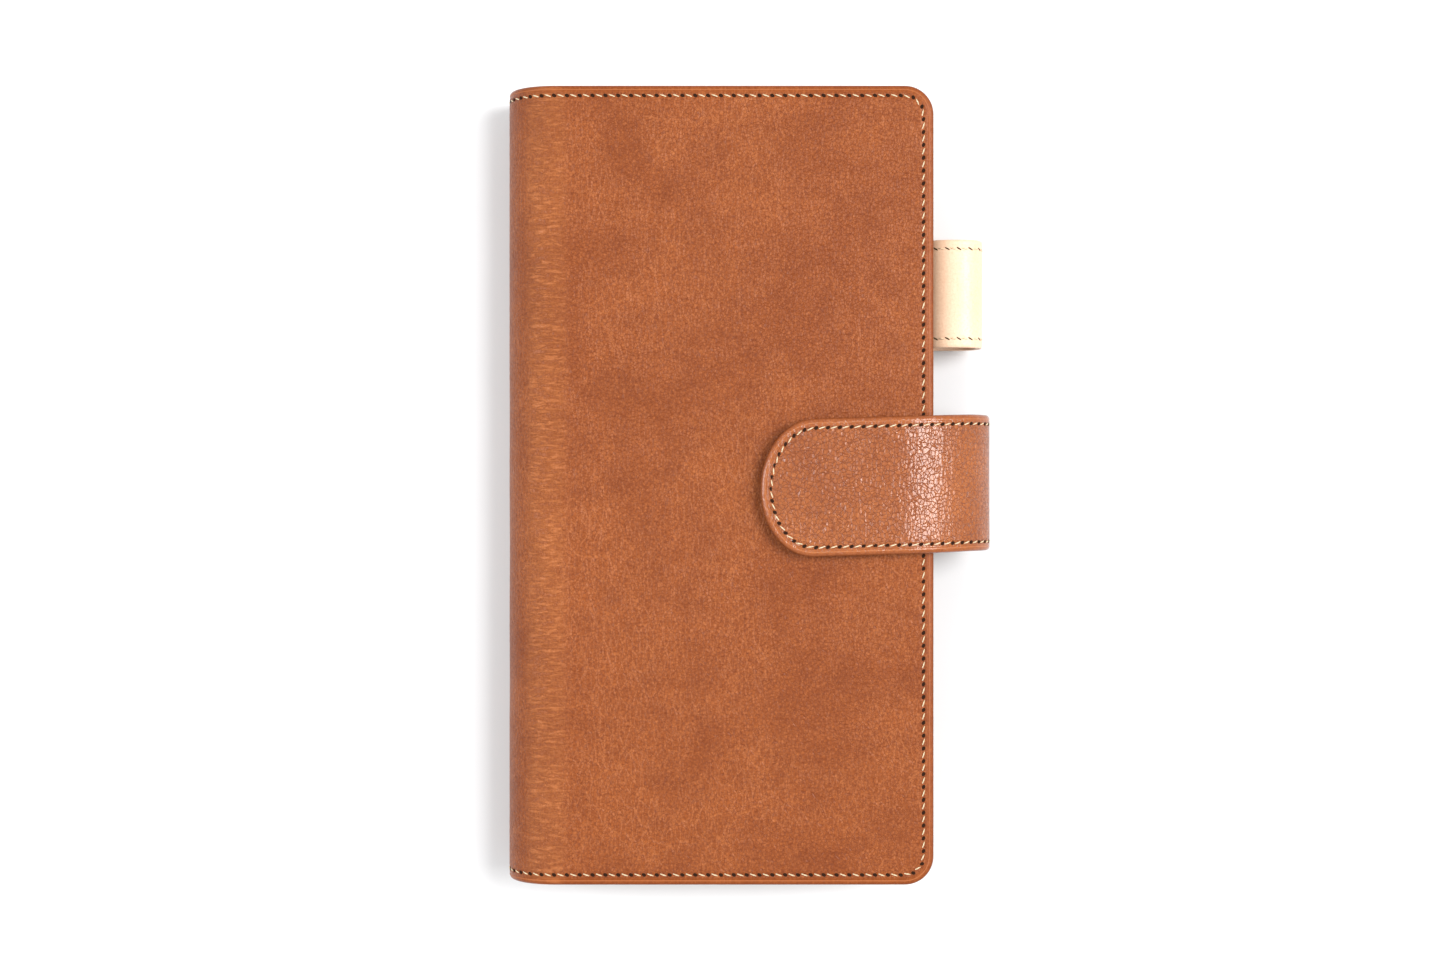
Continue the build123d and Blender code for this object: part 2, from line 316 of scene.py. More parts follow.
def rgb(red, green, blue):
    """A colour given as it looks on screen, 0 to 255, turned into the linear light that shaders use."""
    c = np.array([red, green, blue]) / 255
    c = np.where(c <= 0.04045, c / 12.92, ((c + 0.055) / 1.055) ** 2.4)
    return (*c.tolist(), 1.0)


# %% The leather recipe
def leather(name, base, light, dark, grain=1.0, pebble=0.5, streak=0.5, roughness=0.42, bump=0.35, blotch=1.0,
            wrinkles=None, pale_marks_and_highlight=None, coat=0.0, specular=0.5, space="UV"):
    """Tanned leather. grain scales the pore size, pebble is how deep the cells are, streak how strong the fibre
    marks are. wrinkles is a pair of distances in mm along the sheet between which fine cross folds show. The
    pale marks-and-highlight colour serves both the pale fibre marks, which are the leather's own, and the
    painted highlights: glints, fold ridges and a thin line near the edge. Pores, grain creases and the gaps
    between folds get painted shade."""
    material, tree, shader = new_material(name, roughness, Specular_IOR_Level=specular, Coat_Weight=coat,
                                          Coat_Roughness=0.35)
    if space == "UV":
        where = node(tree, "ShaderNodeUVMap", uv_map="sheet").outputs[0]
    else:
        where = node(tree, "ShaderNodeTexCoord").outputs["Object"]
        where = stretch(tree, where, (10, 10, 10))
    pale_marks_and_highlight = pale_marks_and_highlight or light
    clouds = noise(tree, where, 3.2, 4.0, 0.6, 0.6)
    patches = noise(tree, stretch(tree, where, (1.0, 1.25, 1.0), (0, 0, 0.25)), 13.0, 4.0, 0.6, 0.25)
    flecks = noise(tree, where, 140.0 / grain, 4.0, 0.75)
    fibre_at = stretch(tree, where, (1.0, 0.32, 1.0), (0, 0, 0.18))
    fibres = noise(tree, fibre_at, 175.0 / grain, 3.0, 0.65, 0.9)
    cells = node(tree, "ShaderNodeTexVoronoi", [("Vector", where), ("Scale", 125.0 / grain)],
                 feature="DISTANCE_TO_EDGE").outputs["Distance"]
    wobble = noise(tree, where, 60.0 / grain, 2.0)
    small = node(tree, "ShaderNodeTexVoronoi", [("Vector", fibre_at), ("Scale", 210.0 / grain)],
                 feature="SMOOTH_F1").outputs["Distance"]
    tone = math_node(tree, "MULTIPLY_ADD", clouds, 0.35)
    tree.nodes[-1].inputs[2].default_value = 0.0
    tone = math_node(tree, "ADD", tone, times(tree, patches, 0.25 * blotch))
    tone = math_node(tree, "ADD", tone, times(tree, flecks, 0.55))
    tone = math_node(tree, "SUBTRACT", tone, 0.45 + 0.125 * blotch)
    colour = blend_colours(tree, ramp(tree, tone, -0.16, 0.17), dark, light)
    colour = blend_colours(tree, 0.35, colour, base)
    marks = ramp(tree, fibres, 0.5, 0.7)
    bend_at = stretch(tree, where, (1.0, 0.3, 1.0), (0, 0, -0.1))
    lines = node(tree, "ShaderNodeTexVoronoi",
                 [("Vector", bend_at), ("Scale", 82.0 / grain), ("Randomness", 0.95)],
                 feature="DISTANCE_TO_EDGE").outputs["Distance"]
    lines = times(tree, ramp(tree, lines, 0.1, 0.02), ramp(tree, clouds, 0.36, 0.62))
    colour = blend_colours(tree, times(tree, lines, 0.34 * streak), colour, pale_marks_and_highlight)
    colour = blend_colours(tree, times(tree, marks, 0.32 * streak), colour, pale_marks_and_highlight)
    # Painted shade: the darkest flecks stand for pores and are painted dark as the shade inside them. The same
    # pores are also rougher.
    pits = ramp(tree, flecks, 0.47, 0.3)
    colour = blend_colours(tree, times(tree, pits, 0.85), colour, dark)
    # Painted glints: the palest flecks are painted in the highlight colour as small sparkles of light.
    glints = times(tree, ramp(tree, flecks, 0.56, 0.74), 0.55)
    colour = blend_colours(tree, glints, colour, pale_marks_and_highlight)
    # Painted shade: the creases between the grain's cells are painted dark as the shade in them.
    crease = times(tree, ramp(tree, cells, 0.07, 0.0), 0.8 * pebble)
    colour = blend_colours(tree, crease, colour, dark)
    height = times(tree, ramp(tree, cells, 0.0, 0.09), pebble)
    height = math_node(tree, "ADD", height, times(tree, small, 0.6))
    height = math_node(tree, "ADD", height, times(tree, fibres, 0.6 * streak))
    height = math_node(tree, "ADD", height, times(tree, wobble, 0.5))
    height = math_node(tree, "SUBTRACT", height, times(tree, lines, 0.8 * streak))
    if wrinkles:
        along = node(tree, "ShaderNodeSeparateXYZ", [("Vector", where)]).outputs[0]
        middle, reach = sum(wrinkles) / 200, (wrinkles[1] - wrinkles[0]) / 200
        away = math_node(tree, "ABSOLUTE", math_node(tree, "SUBTRACT", along, middle))
        mask = times(tree, ramp(tree, away, reach, reach * 0.35), ramp(tree, patches, 0.25, 0.5, 0.4, 1.0))
        folds = noise(tree, stretch(tree, where, (0.24, 1.0, 1.0), (0, 0, 0.3)), 120.0, 4.0, 0.62, 0.6)
        folds = times(tree, ramp(tree, folds, 0.44, 0.62), mask)
        height = math_node(tree, "ADD", height, times(tree, folds, 2.4))
        # The band of folds is painted lighter: partly the creased leather's own paler tone, partly a painted
        # highlight where the spine starts to turn.
        colour = blend_colours(tree, times(tree, mask, 0.22), colour, pale_marks_and_highlight)
        # Painted shade in the gaps between the folds.
        fold_gap_shade = times(tree, math_node(tree, "SUBTRACT", mask, folds), 0.25)
        colour = blend_colours(tree, fold_gap_shade, colour, dark)
        # Painted highlight on the ridges of the folds.
        colour = blend_colours(tree, times(tree, folds, 0.42), colour, pale_marks_and_highlight)
    rim = node(tree, "ShaderNodeAttribute", attribute_name="rim").outputs["Fac"]
    smooth_band = ramp(tree, rim, 0.34, 0.46)
    height = times(tree, height, ramp(tree, smooth_band, 0.0, 1.0, 1.0, 0.2))
    # A thin painted highlight line about a millimetre in from the edge, on the smooth band. The darker burnished
    # rim and the smooth band are the edge's own colour.
    off_edge_highlight = math_node(tree, "ABSOLUTE", math_node(tree, "SUBTRACT", rim, 0.64))
    line = times(tree, ramp(tree, off_edge_highlight, 0.055, 0.01), smooth_band)
    burnish = ramp(tree, rim, 0.74, 1.0)
    colour = blend_colours(tree, times(tree, smooth_band, 0.35), colour, base)
    colour = blend_colours(tree, times(tree, burnish, 0.45), colour, dark)
    colour = blend_colours(tree, times(tree, line, 0.5), colour, pale_marks_and_highlight)
    add_bump(tree, shader, height, bump, 0.00022)
    tree.links.new(colour, shader.inputs["Base Color"])
    polish = ramp(tree, patches, 0.3, 0.7, roughness + 0.02, roughness - 0.02)
    polish = math_node(tree, "SUBTRACT", polish, times(tree, smooth_band, 0.08))
    polish = math_node(tree, "ADD", polish, times(tree, pits, 0.12))
    tree.links.new(polish, shader.inputs["Roughness"])
    return material


tan_leather = leather("tan_leather", rgb(129, 64, 25), rgb(147, 79, 36), rgb(103, 46, 16), grain=1.0,
                      pebble=0.8, streak=0.8, roughness=0.38, bump=0.5, specular=0.2,
                      wrinkles=(flat_run - 4.5, flat_run + 9), pale_marks_and_highlight=rgb(178, 108, 62))
strap_leather = leather("strap_leather", rgb(147, 79, 36), rgb(162, 94, 49), rgb(112, 53, 22), grain=1.3,
                        pebble=0.95, streak=0.15, roughness=0.21, bump=0.66, blotch=0.7, specular=0.5,
                        pale_marks_and_highlight=rgb(178, 112, 68))
lining_leather = leather("lining_leather", rgb(164, 127, 91), rgb(179, 144, 108), rgb(142, 105, 71), grain=0.8,
                         pebble=0.2, streak=0.4, roughness=0.6, bump=0.2, specular=0.35)
pocket_leather = leather("pocket_leather", rgb(140, 77, 40), rgb(156, 92, 52), rgb(114, 58, 27), grain=0.9,
                         pebble=0.4, streak=0.4, roughness=0.48, bump=0.25, specular=0.25, space="Object")
pen_leather = leather("pen_loop_leather", rgb(232, 196, 164), rgb(238, 206, 178), rgb(220, 176, 142), grain=0.9,
                      pebble=0.15, streak=0.5, roughness=0.4, bump=0.15, blotch=0.6)
board_leather = leather("edge_board", rgb(118, 75, 50), rgb(134, 88, 59), rgb(96, 59, 38), grain=0.6,
                        pebble=0.1, streak=0.9, roughness=0.7, bump=0.3)


# %% [markdown]
# ## Thread
# Saddle stitching is a waxed linen thread that dives through one awl hole and comes up at the next. Each
# visible stitch is a short capsule, thick in the middle and thin where it goes down. The hole between two
# stitches is a small flat oval painted near-black as the shade inside the hole. The stitches follow the same
# path functions as the leather, so they bend with it.

# %% Thread, holes
def thread_material(name, colour, shade):
    """Waxed thread: a twist drawn across the stitch by a wave on its own UV, with a soft sheen."""
    material, tree, shader = new_material(name, 0.55, Sheen_Weight=0.3, Specular_IOR_Level=0.4)
    where = node(tree, "ShaderNodeUVMap", uv_map="sheet").outputs[0]
    twist = node(tree, "ShaderNodeTexWave", [("Vector", stretch(tree, where, (1, 1, 1), (0, 0, 0.8))),
                                             ("Scale", 60.0), ("Distortion", 0.6)]).outputs[1]
    colour = blend_colours(tree, times(tree, twist, 0.8), shade, colour)
    tree.links.new(colour, shader.inputs["Base Color"])
    add_bump(tree, shader, twist, 0.4, 0.0001)
    return material


cream_thread = thread_material("cream_thread", rgb(226, 212, 182), rgb(190, 165, 124))
natural_thread = thread_material("pen_loop_thread", rgb(234, 204, 172), rgb(206, 174, 136))
# Awl holes are flat ovals painted near-black: painted shade for the depth of each hole, a little lighter at
# random.
hole_shade_materials = {}
for name, deep, rim in (("awl_hole_shade", rgb(26, 15, 9), rgb(52, 30, 18)),
                        ("pen_loop_hole_shade", rgb(46, 36, 17), rgb(72, 58, 30))):
    hole_shade_materials[name], tree, shader = new_material(name, 0.9, Specular_IOR_Level=0.1)
    speck = noise(tree, node(tree, "ShaderNodeTexCoord").outputs["Object"], 4000.0)
    tree.links.new(blend_colours(tree, speck, deep, rim), shader.inputs["Base Color"])


def walk(corners, step):
    """Points every step mm along a line of (s, y) corners, with the direction of travel at each."""
    corners = np.asarray(corners, float)
    run = np.concatenate([[0], np.cumsum(np.hypot(*np.diff(corners, axis=0).T))])
    count = max(1, int(round(run[-1] / step)))
    at = np.linspace(0, run[-1], count + 1)
    return np.stack([np.interp(at, run, corners[:, i]) for i in (0, 1)], -1)


def sew(name, place, line, pitch, material, side=1, lift=0.0, slant=0.3, width=0.17, gap=1.3, hole="awl_hole_shade",
        hole_size=(0.6, 0.45)):
    """Stitches and awl holes along a line. A stitch is a grid wrapped into a capsule: its radius is a power of
    the sine along it, and its middle line rises over the leather and dips at both ends. Each hole is a flat
    oval in a near-black material, painted shade that stands for the depth of the hole."""
    holes = walk(line, pitch)
    a, b = holes[:-1], holes[1:]
    along = b - a
    length = np.hypot(*along.T)[:, None]
    forward = along / length
    aside = np.stack([-forward[:, 1], forward[:, 0]], -1)
    u = np.linspace(0, 1, 8)
    v = np.linspace(0, 2 * pi, 7)[:-1]
    bulge = np.sin(pi * u)
    radius = width * np.maximum(bulge, 0.02) ** 0.4
    run = (gap / 2 + u * (length - gap)) - length / 2
    shift = slant * (2 * u - 1)
    middle = (a + b) / 2
    s = (middle[:, 0, None, None] + forward[:, 0, None, None] * run[:, :, None]
         + aside[:, 0, None, None] * (shift[None, :, None] + radius[None, :, None] * np.cos(v)))
    y = (middle[:, 1, None, None] + forward[:, 1, None, None] * run[:, :, None]
         + aside[:, 1, None, None] * (shift[None, :, None] + radius[None, :, None] * np.cos(v)))
    h = np.broadcast_to(lift + 0.20 * bulge[None, :, None] - 0.10 + radius[None, :, None] * 0.8 * np.sin(v),
                        s.shape)
    points = place(s, y, side * h).reshape(-1, 3)
    cell = np.arange(8 * 6).reshape(8, 6)
    ring = np.concatenate([cell, cell[:, :1]], 1)
    quads = np.stack([ring[:-1, :-1], ring[1:, :-1], ring[1:, 1:], ring[:-1, 1:]], -1).reshape(-1, 4)
    count = len(holes) - 1
    faces = (quads[None] + np.arange(count)[:, None, None] * 48).reshape(-1, 4)
    caps = np.concatenate([np.stack([cell[e, [0, 1, 2, 3]], cell[e, [3, 4, 5, 0]]]) for e in (0, -1)])
    faces = np.concatenate([faces, (caps[None] + np.arange(count)[:, None, None] * 48).reshape(-1, 4)])
    uv = np.stack([(run[:, :, None] + 0 * s).ravel(), (radius[None, :, None] * v + 0 * s).ravel()], -1)
    stitches = make_piece(name + "_thread", points, faces, material, uv, sharp=80)
    t = np.linspace(0, 2 * pi, 9)[:-1]
    turn = 0.55
    ox, oy = hole_size[0] * np.cos(t), hole_size[1] * np.sin(t)
    ox, oy = ox * np.cos(turn) - oy * np.sin(turn), ox * np.sin(turn) + oy * np.cos(turn)
    ways = np.concatenate([forward, forward[-1:]])
    cross = np.stack([-ways[:, 1], ways[:, 0]], -1)
    rings = []
    for scale, height in ((1.0, lift - 0.02), (0.92, lift + 0.07), (0.5, lift + 0.05)):
        s = holes[:, 0, None] + scale * (ways[:, 0, None] * ox + cross[:, 0, None] * oy)
        y = holes[:, 1, None] + scale * (ways[:, 1, None] * ox + cross[:, 1, None] * oy)
        rings.append(place(s, y, side * (height + 0 * s)))
    points = np.stack(rings, 1).reshape(-1, 3)
    k = np.arange(8)
    after = (k + 1) % 8
    rings_of_quads = [np.stack([k + 8 * r, after + 8 * r, after + 8 * (r + 1), k + 8 * (r + 1)], -1)
                      for r in (0, 1)]
    quads = np.concatenate(rings_of_quads + [np.array([[16, 17, 18, 19], [19, 20, 21, 22], [16, 19, 22, 23]])])
    base = np.array([[0, 3, 2, 1], [3, 6, 5, 4], [0, 7, 6, 3]])
    quads = np.concatenate([quads, base])
    faces = (quads[None] + np.arange(len(holes))[:, None, None] * 24).reshape(-1, 4)
    hole_shade_ovals = make_piece(name + "_holes", points, faces, hole_shade_materials[hole], sharp=80)
    return [stitches, hole_shade_ovals]


# %% [markdown]
# ## The cover
# The outer leather is one sheet, but the wallet folds about two lines, one at each end of the spine. The
# sheet is cut at the middle of the spine into a front half and a back half.

# %% Cover halves
CORNER_R = 7.0
half_cover = cover_run / 2


def cover_rows(step=2.2):
    """Distances from the fore-edge to the middle of the spine: crowded over the corner, then even."""
    corner = CORNER_R * (1 - np.cos(np.linspace(0, pi / 2, 15)))
    near = np.unique(np.round(np.concatenate([EDGE_STEPS, corner]), 3))
    flat = np.linspace(near[-1], flat_run, int((flat_run - near[-1]) / step))[1:]
    arc = np.linspace(flat_run, half_cover, 20)[1:]
    return np.concatenate([near, flat, arc])


def cover_grid(inset=0.0):
    """Rows by columns of (s, y) and each point's distance to the rounded outline."""
    s = cover_rows()
    r = CORNER_R - inset
    e = np.clip(s, inset, None)
    width = half_length - inset - r + np.sqrt(np.clip(r * r - np.clip(r - (e - inset), 0, None) ** 2, 0, None))
    across = both_edges(2 * half_length) / half_length - 1
    s, y = np.meshgrid(e, across, indexing="ij")
    y = y * width[:, None]
    qx, qy = r - (s - inset), r - (half_length - inset - np.abs(y))
    outside = np.hypot(np.clip(qx, 0, None), np.clip(qy, 0, None)) + np.minimum(np.maximum(qx, qy), 0)
    return s, y, np.clip(r - outside, 0, None)


def undulate(s, y):
    """Leather never lies dead flat: a few slow waves, each a product of two sines, a few hundredths of a mm."""
    return (0.06 * np.sin(s / 9.1 + 0.4) * np.sin(y / 13.7 + 1.1) + 0.05 * np.sin(s / 17.3 - 1.0 + y / 29.0)
            + 0.035 * np.sin(y / 5.3 + s / 7.9))


def mirrored(place):
    """The same path seen from its other end, for the back cover."""
    return lambda s, y, h: place(cover_run - np.asarray(s), y, h)


def bend_with_cover(piece, half):
    """Bakes the piece's placement into its mesh. Front and back halves are treated alike, and nothing is blended
    across the fold.
    """
    if half == "front":
        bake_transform(piece)
    else:
        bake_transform(piece)
    return piece


def spine_share(s):
    """0 on the flat and 1 in the spine, where there is no board and the lining meets the leather."""
    return step_up(s, flat_run - 4.0, flat_run + 2.0)


for half, path, replaced in (("front", cover_place, ("front_leather", "spine_leather")),
                             ("back", mirrored(cover_place), ("back_leather",))):
    s, y, edge = cover_grid()
    top = undulate(s, y) * step_up(edge, 1, 8) - round_over(edge, 1.0, 0.75) - groove(edge, 1.25, 0.13, 0.14)
    top -= groove(edge, 2.5, 0.12, 0.32) - 0.05 * step_up(edge, 2.6, 3.6)
    top = np.minimum(top, 0.05)
    skin = closed_sheet(f"cover_skin_{half}", path, s, y, top, -leather_in + 0.03 - 0 * s, tan_leather,
                        edge=edge)
    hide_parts(*replaced)
    bend_with_cover(skin, half)

    s, y, edge = cover_grid(inset=0.12)
    depth = -wall + 0.8 * spine_share(s)
    under = depth + round_over(edge, 0.6, 0.5) + groove(edge, 2.4, 0.10, 0.3)
    lining = closed_sheet(f"cover_lining_{half}", path, s, y, depth + 0.97, under, lining_leather)
    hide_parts(*(("front_lining", "spine_lining") if half == "front" else ("back_lining",)))
    bend_with_cover(lining, half)

    keep = s[:, 0] <= flat_run - 2.0
    s, y, edge = (array[keep] for array in cover_grid(inset=0.35))
    filler = closed_sheet(f"cover_board_{half}", path, s, y, -leather_in - 0.02 - 0 * s,
                          -leather_in - 0.78 - 0 * s, board_leather)
    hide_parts(f"{half}_board")
    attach(filler, f"{half}_cover")

    inset = 2.5
    arc = np.linspace(0, pi / 2, 12)
    r = CORNER_R - inset
    corner = np.stack([inset + r - r * np.sin(arc), half_length - inset - r + r * np.cos(arc)], -1)
    line = np.concatenate([[[half_cover, half_length - inset]], corner, corner[::-1] * [1, -1],
                           [[half_cover, -half_length + inset]]])
    for thing in sew(f"cover_{half}", path, line, 3.12, cream_thread, lift=-0.06):
        bend_with_cover(thing, half)
    print(half, "cover sewn")

# %% [markdown]
# ## The closing strap
# Two plies are glued flesh to flesh and sewn round the edge. The tip is half an ellipse. The edges are
# rounded over and burnished, with a crease line just inside. It is cut at the outermost point of its fold
# into a flap half and a root half, as the cover is cut at the middle of its spine.

# %% Strap outline and plies
TIP_RUN = 13.0
strap_cut = flap_run + strap_r * pi / 2


def strap_rows(first, last, step=1.6):
    """Distances along the strap between two places, crowded at the tip."""
    tip = TIP_RUN * (1 - np.cos(np.linspace(0, pi / 2, 22)))
    rows = np.concatenate([tip, np.arange(TIP_RUN + step, strap_end - 0.3, step), [strap_cut, strap_end]])
    rows = np.unique(np.round(rows, 3))
    return rows[(rows >= first - 1e-3) & (rows <= last + 1e-3)]


def strap_grid(first, last):
    """Rows by columns of (s, y) and each point's distance to the outline. The half width follows an ellipse
    over the tip, and the distance there is how far inside the ellipse a point is, over the slope of that
    measure."""
    s = strap_rows(first, last)
    q = np.clip((TIP_RUN - s) / TIP_RUN, 0, 1)
    width = strap_half * np.sqrt(1 - q * q)
    across = both_edges(2 * strap_half, 1.5) / strap_half - 1
    s, y = np.meshgrid(s, across, indexing="ij")
    y = y * width[:, None]
    inside = np.hypot(q[:, None], y / strap_half)
    slope = np.hypot(q[:, None] / TIP_RUN, y / strap_half ** 2) / np.maximum(inside, 1e-6)
    edge = np.where(s < TIP_RUN, (1 - inside) / np.maximum(slope, 1e-6), strap_half - np.abs(y))
    return s, y, np.clip(np.minimum(edge, strap_half - np.abs(y)), 0, None)


def root_taper(s):
    """The root is pared down where it goes between the cover's layers."""
    return step_up(s, flap_run + pi * strap_r - 0.4, flap_run + pi * strap_r + 1.4)


def bend_with_strap(piece, half):
    """Bakes the piece's placement into its mesh. Root and flap halves are treated alike, and nothing is blended
    across the fold.
    """
    if half == "root":
        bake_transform(piece)
    else:
        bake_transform(piece)
    return piece


for half, first, last in (("flap", 0, strap_cut), ("root", strap_cut, strap_end)):
    s, y, edge = strap_grid(first, last)
    pared = root_taper(s)
    top = 0.04 * np.sin(s / 6.0) * np.sin(y / 7.0 + 1) - round_over(edge, 1.15, 0.85)
    top = top - groove(edge, 1.22, 0.06, 0.11)
    top -= groove(edge, 2.3, 0.10, 0.32)
    outer = closed_sheet(f"strap_outer_{half}", strap_place, s, y, top - 0.95 * pared, -1.38 + 0.02 * pared,
                         strap_leather, edge=edge)
    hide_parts(*(("strap_flap_outer", "strap_bend_outer") if half == "flap" else ("strap_base_outer",)))
    bend_with_strap(outer, half)
    under = -STRAP_T + round_over(edge, 1.0, 0.75) + groove(edge, 2.3, 0.08, 0.3) + 0.9 * pared
    lining = closed_sheet(f"strap_lining_{half}", strap_place, s, y, -1.40 - 0 * s, under, lining_leather)
    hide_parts(*(("strap_flap_lining", "strap_bend_lining") if half == "flap" else ("strap_base_lining",)))
    bend_with_strap(lining, half)

# %% Strap stitching
inset = 2.25
t = np.linspace(0, pi / 2, 24)
tip_line = np.stack([TIP_RUN - (TIP_RUN - 2.6) * np.cos(t), (strap_half - inset) * np.sin(t)], -1)
edge_line = np.array([[strap_cut, strap_half - inset]])
flap_line = np.concatenate([edge_line, tip_line[::-1], tip_line[1:] * [1, -1], edge_line * [1, -1]])
for thing in sew("strap_flap", strap_place, flap_line, 2.86, cream_thread, lift=-0.06, slant=0.26, gap=1.0):
    bend_with_strap(thing, "flap")
for side in (-1, 1):
    line = np.array([[strap_cut, strap_half - inset],
                     [flap_run + pi * strap_r - 1.0, strap_half - inset]]) * [1, side]
    for thing in sew(f"strap_root_{'top' if side > 0 else 'bottom'}", strap_place, line, 2.86, cream_thread,
                     lift=-0.06, slant=0.26, gap=1.0):
        bend_with_strap(thing, "root")

# %% [markdown]
# ## The pen loop
# A strip of undyed leather leaves the back cover, goes once round a pen and is sewn to itself. Its path is
# a rounded square, with a straight tongue into the cover. The grain side is outside, and a second ply lines
# the bore.

# %% Pen loop
loop_lo, loop_hi = span("pen_loop_leather")
loop_r = (loop_hi[2] - loop_lo[2]) / 2
loop_x, loop_z = loop_hi[0] - loop_r, loop_hi[2] - loop_r
loop_y, loop_half = (loop_lo[1] + loop_hi[1]) / 2, (loop_hi[1] - loop_lo[1]) / 2
loop_run = 2 * pi * loop_r


def loop_place(s, y, h):
    """Once round, starting at the lowest point and going up the side away from the wallet. Empty, the loop
    relaxes to a rounded square: the points where |x|^n + |z|^n = r^n, with n of 2.7."""
    s, y, h = np.broadcast_arrays(s, y, h)
    a = -pi / 2 + s / loop_r
    r = loop_r * (np.abs(np.cos(a)) ** 2.7 + np.abs(np.sin(a)) ** 2.7) ** (-1 / 2.7) + h
    return np.stack([loop_x + r * np.cos(a), y + loop_y, loop_z + r * np.sin(a)], -1)


def loop_tube(name, outer, inner, material):
    """A tube with rounded ends: the rim's profile is an outline in (y, h), carried once round the path."""
    d = np.array([0, .03, .1, .22, .4, .62, .9, 1.3, 1.8, 2.2, 2.6, 3.2])
    y = np.concatenate([d, np.linspace(3.2, 2 * loop_half - 3.2, 9)[1:-1], 2 * loop_half - d[::-1]]) - loop_half
    e = loop_half - np.abs(y)
    up = outer - round_over(e, 0.7, 0.35) - groove(e, 2.2, 0.08, 0.3)
    down = inner + round_over(e, 0.5, 0.25)
    profile = np.concatenate([np.stack([y, up], -1), np.stack([y, down], -1)[::-1]])
    turns = 72
    s = np.linspace(0, loop_run, turns + 1)[:-1]
    points = loop_place(s[:, None], profile[None, :, 0], profile[None, :, 1] + 0 * s[:, None])
    n = len(profile)
    i = np.arange(turns * n).reshape(turns, n)
    ahead = np.roll(i, -1, 0)
    faces = np.stack([i, ahead, np.roll(ahead, -1, 1), np.roll(i, -1, 1)], -1).reshape(-1, 4)
    uv = np.stack([np.repeat(s, n), np.tile(profile[:, 0], turns)], -1)
    piece = make_piece(name, points.reshape(-1, 3), faces, material, uv)
    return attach(piece, "back_cover")


loop_tube("pen_loop_outer", 0.0, -0.84, pen_leather)
loop_liner = loop_tube("pen_loop_liner", -0.86, -1.68, pen_leather)
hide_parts("pen_loop_lining")
rows = np.linspace(loop_lo[0], loop_x + 0.4, 24)
s, y = np.meshgrid(rows, np.linspace(-loop_half, loop_half, 20), indexing="ij")
tongue = closed_sheet("pen_loop_tongue", flat_place(loop_lo[2]), s, y + loop_y, 0.78 + 0 * s, 0.02 + 0 * s,
                      pen_leather)
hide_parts("pen_loop_leather")
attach(tongue, "back_cover")
for side in (-1, 1):
    line = np.array([[2.0, side * (loop_half - 2.2)], [loop_run * 0.86, side * (loop_half - 2.2)]])
    for thing in sew(f"pen_loop_{'top' if side > 0 else 'bottom'}", loop_place, line, 2.8, natural_thread,
                     lift=-0.08, slant=0.2, width=0.2, gap=0.9, hole="pen_loop_hole_shade", hole_size=(0.78, 0.2)):
        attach(thing, "back_cover")

# %% [markdown]
# ## Inside the wallet
# The pockets are thin flat panels. A panel's mouth is turned and creased, its far end is sewn down. The
# same grid idea serves: rows start at the mouth, and the corners there are rounded.


# %% Flat panels
def panel_grid(mouth, far, y0, y1, corner=3.0, step=3.0):
    """Rows from the mouth to the far end. The half width follows a quarter circle over the mouth's corners."""
    length, half, middle = mouth - far, (y1 - y0) / 2, (y0 + y1) / 2
    near = np.concatenate([EDGE_STEPS, corner * (1 - np.cos(np.linspace(0, pi / 2, 9)))])
    near = np.unique(np.round(near[near < length * 0.8], 3))
    e = np.concatenate([near, np.linspace(near[-1], length, max(3, int(length / step)))[1:]])
    width = half - corner + np.sqrt(np.clip(corner ** 2 - np.clip(corner - e, 0, None) ** 2, 0, None))
    e, y = np.meshgrid(e, both_edges(2 * half, step) / half - 1, indexing="ij")
    y = y * width[:, None]
    qx, qy = corner - e, corner - (half - np.abs(y))
    outside = np.hypot(np.clip(qx, 0, None), np.clip(qy, 0, None)) + np.minimum(np.maximum(qx, qy), 0)
    return mouth - e, y + middle, np.clip(corner - outside, 0, None)


def panel(name, node_name, mouth, far, y0, y1, z, thick, facing, body, material, crease=True):
    """A flat panel whose good side is at z and faces up (1) or down (-1)."""
    s, y, edge = panel_grid(mouth, far, y0, y1)
    slow = 0.05 * np.sin(s / 11 + z) * np.sin(y / 17 + z) * step_up(edge, 2, 9) - 0.05
    top = slow - round_over(edge, 0.35, 0.25) - (groove(edge, 1.24, 0.06, 0.12) if crease else 0)
    piece = closed_sheet(name, flat_place(z, facing), s, y, top, -thick + round_over(edge, 0.3, 0.15), material,
                         edge=edge)
    if node_name:
        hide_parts(node_name)
    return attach(piece, body)


def sew_flat(name, line, z, facing, body, pitch=3.1, lift=-0.1, material=cream_thread):
    """Stitches on a flat panel that face up (1) or down (-1)."""
    for thing in sew(name, flat_place(z), np.asarray(line, float), pitch, material, side=facing, lift=lift,
                     width=0.24, gap=0.75):
        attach(thing, body)


# %% Stitches on the inside of the covers
def inner_face(path):
    """The lining's own surface: the wall's depth under the cover's path, less in the spine."""
    return lambda s, y, h: path(s, y, -(wall - 0.8 * spine_share(s)) - np.asarray(h))


for half, path in (("front", cover_place), ("back", mirrored(cover_place))):
    inset = 2.5
    arc = np.linspace(0, pi / 2, 12)
    r = CORNER_R - inset
    corner = np.stack([inset + r - r * np.sin(arc), half_length - inset - r + r * np.cos(arc)], -1)
    line = np.concatenate([[[half_cover, half_length - inset]], corner, corner[::-1] * [1, -1],
                           [[half_cover, -half_length + inset]]])
    for thing in sew(f"cover_{half}_inside", inner_face(path), line, 3.12, cream_thread, lift=-0.06):
        bend_with_cover(thing, half)

# %% [markdown]
# ### Card slots
# Four tiers step back from the fore-edge, two columns wide. Each tier is a face sheet with a folded rim
# under its ends, its middle and its floor. The rim leaves a slot for a card between one tier and the next.

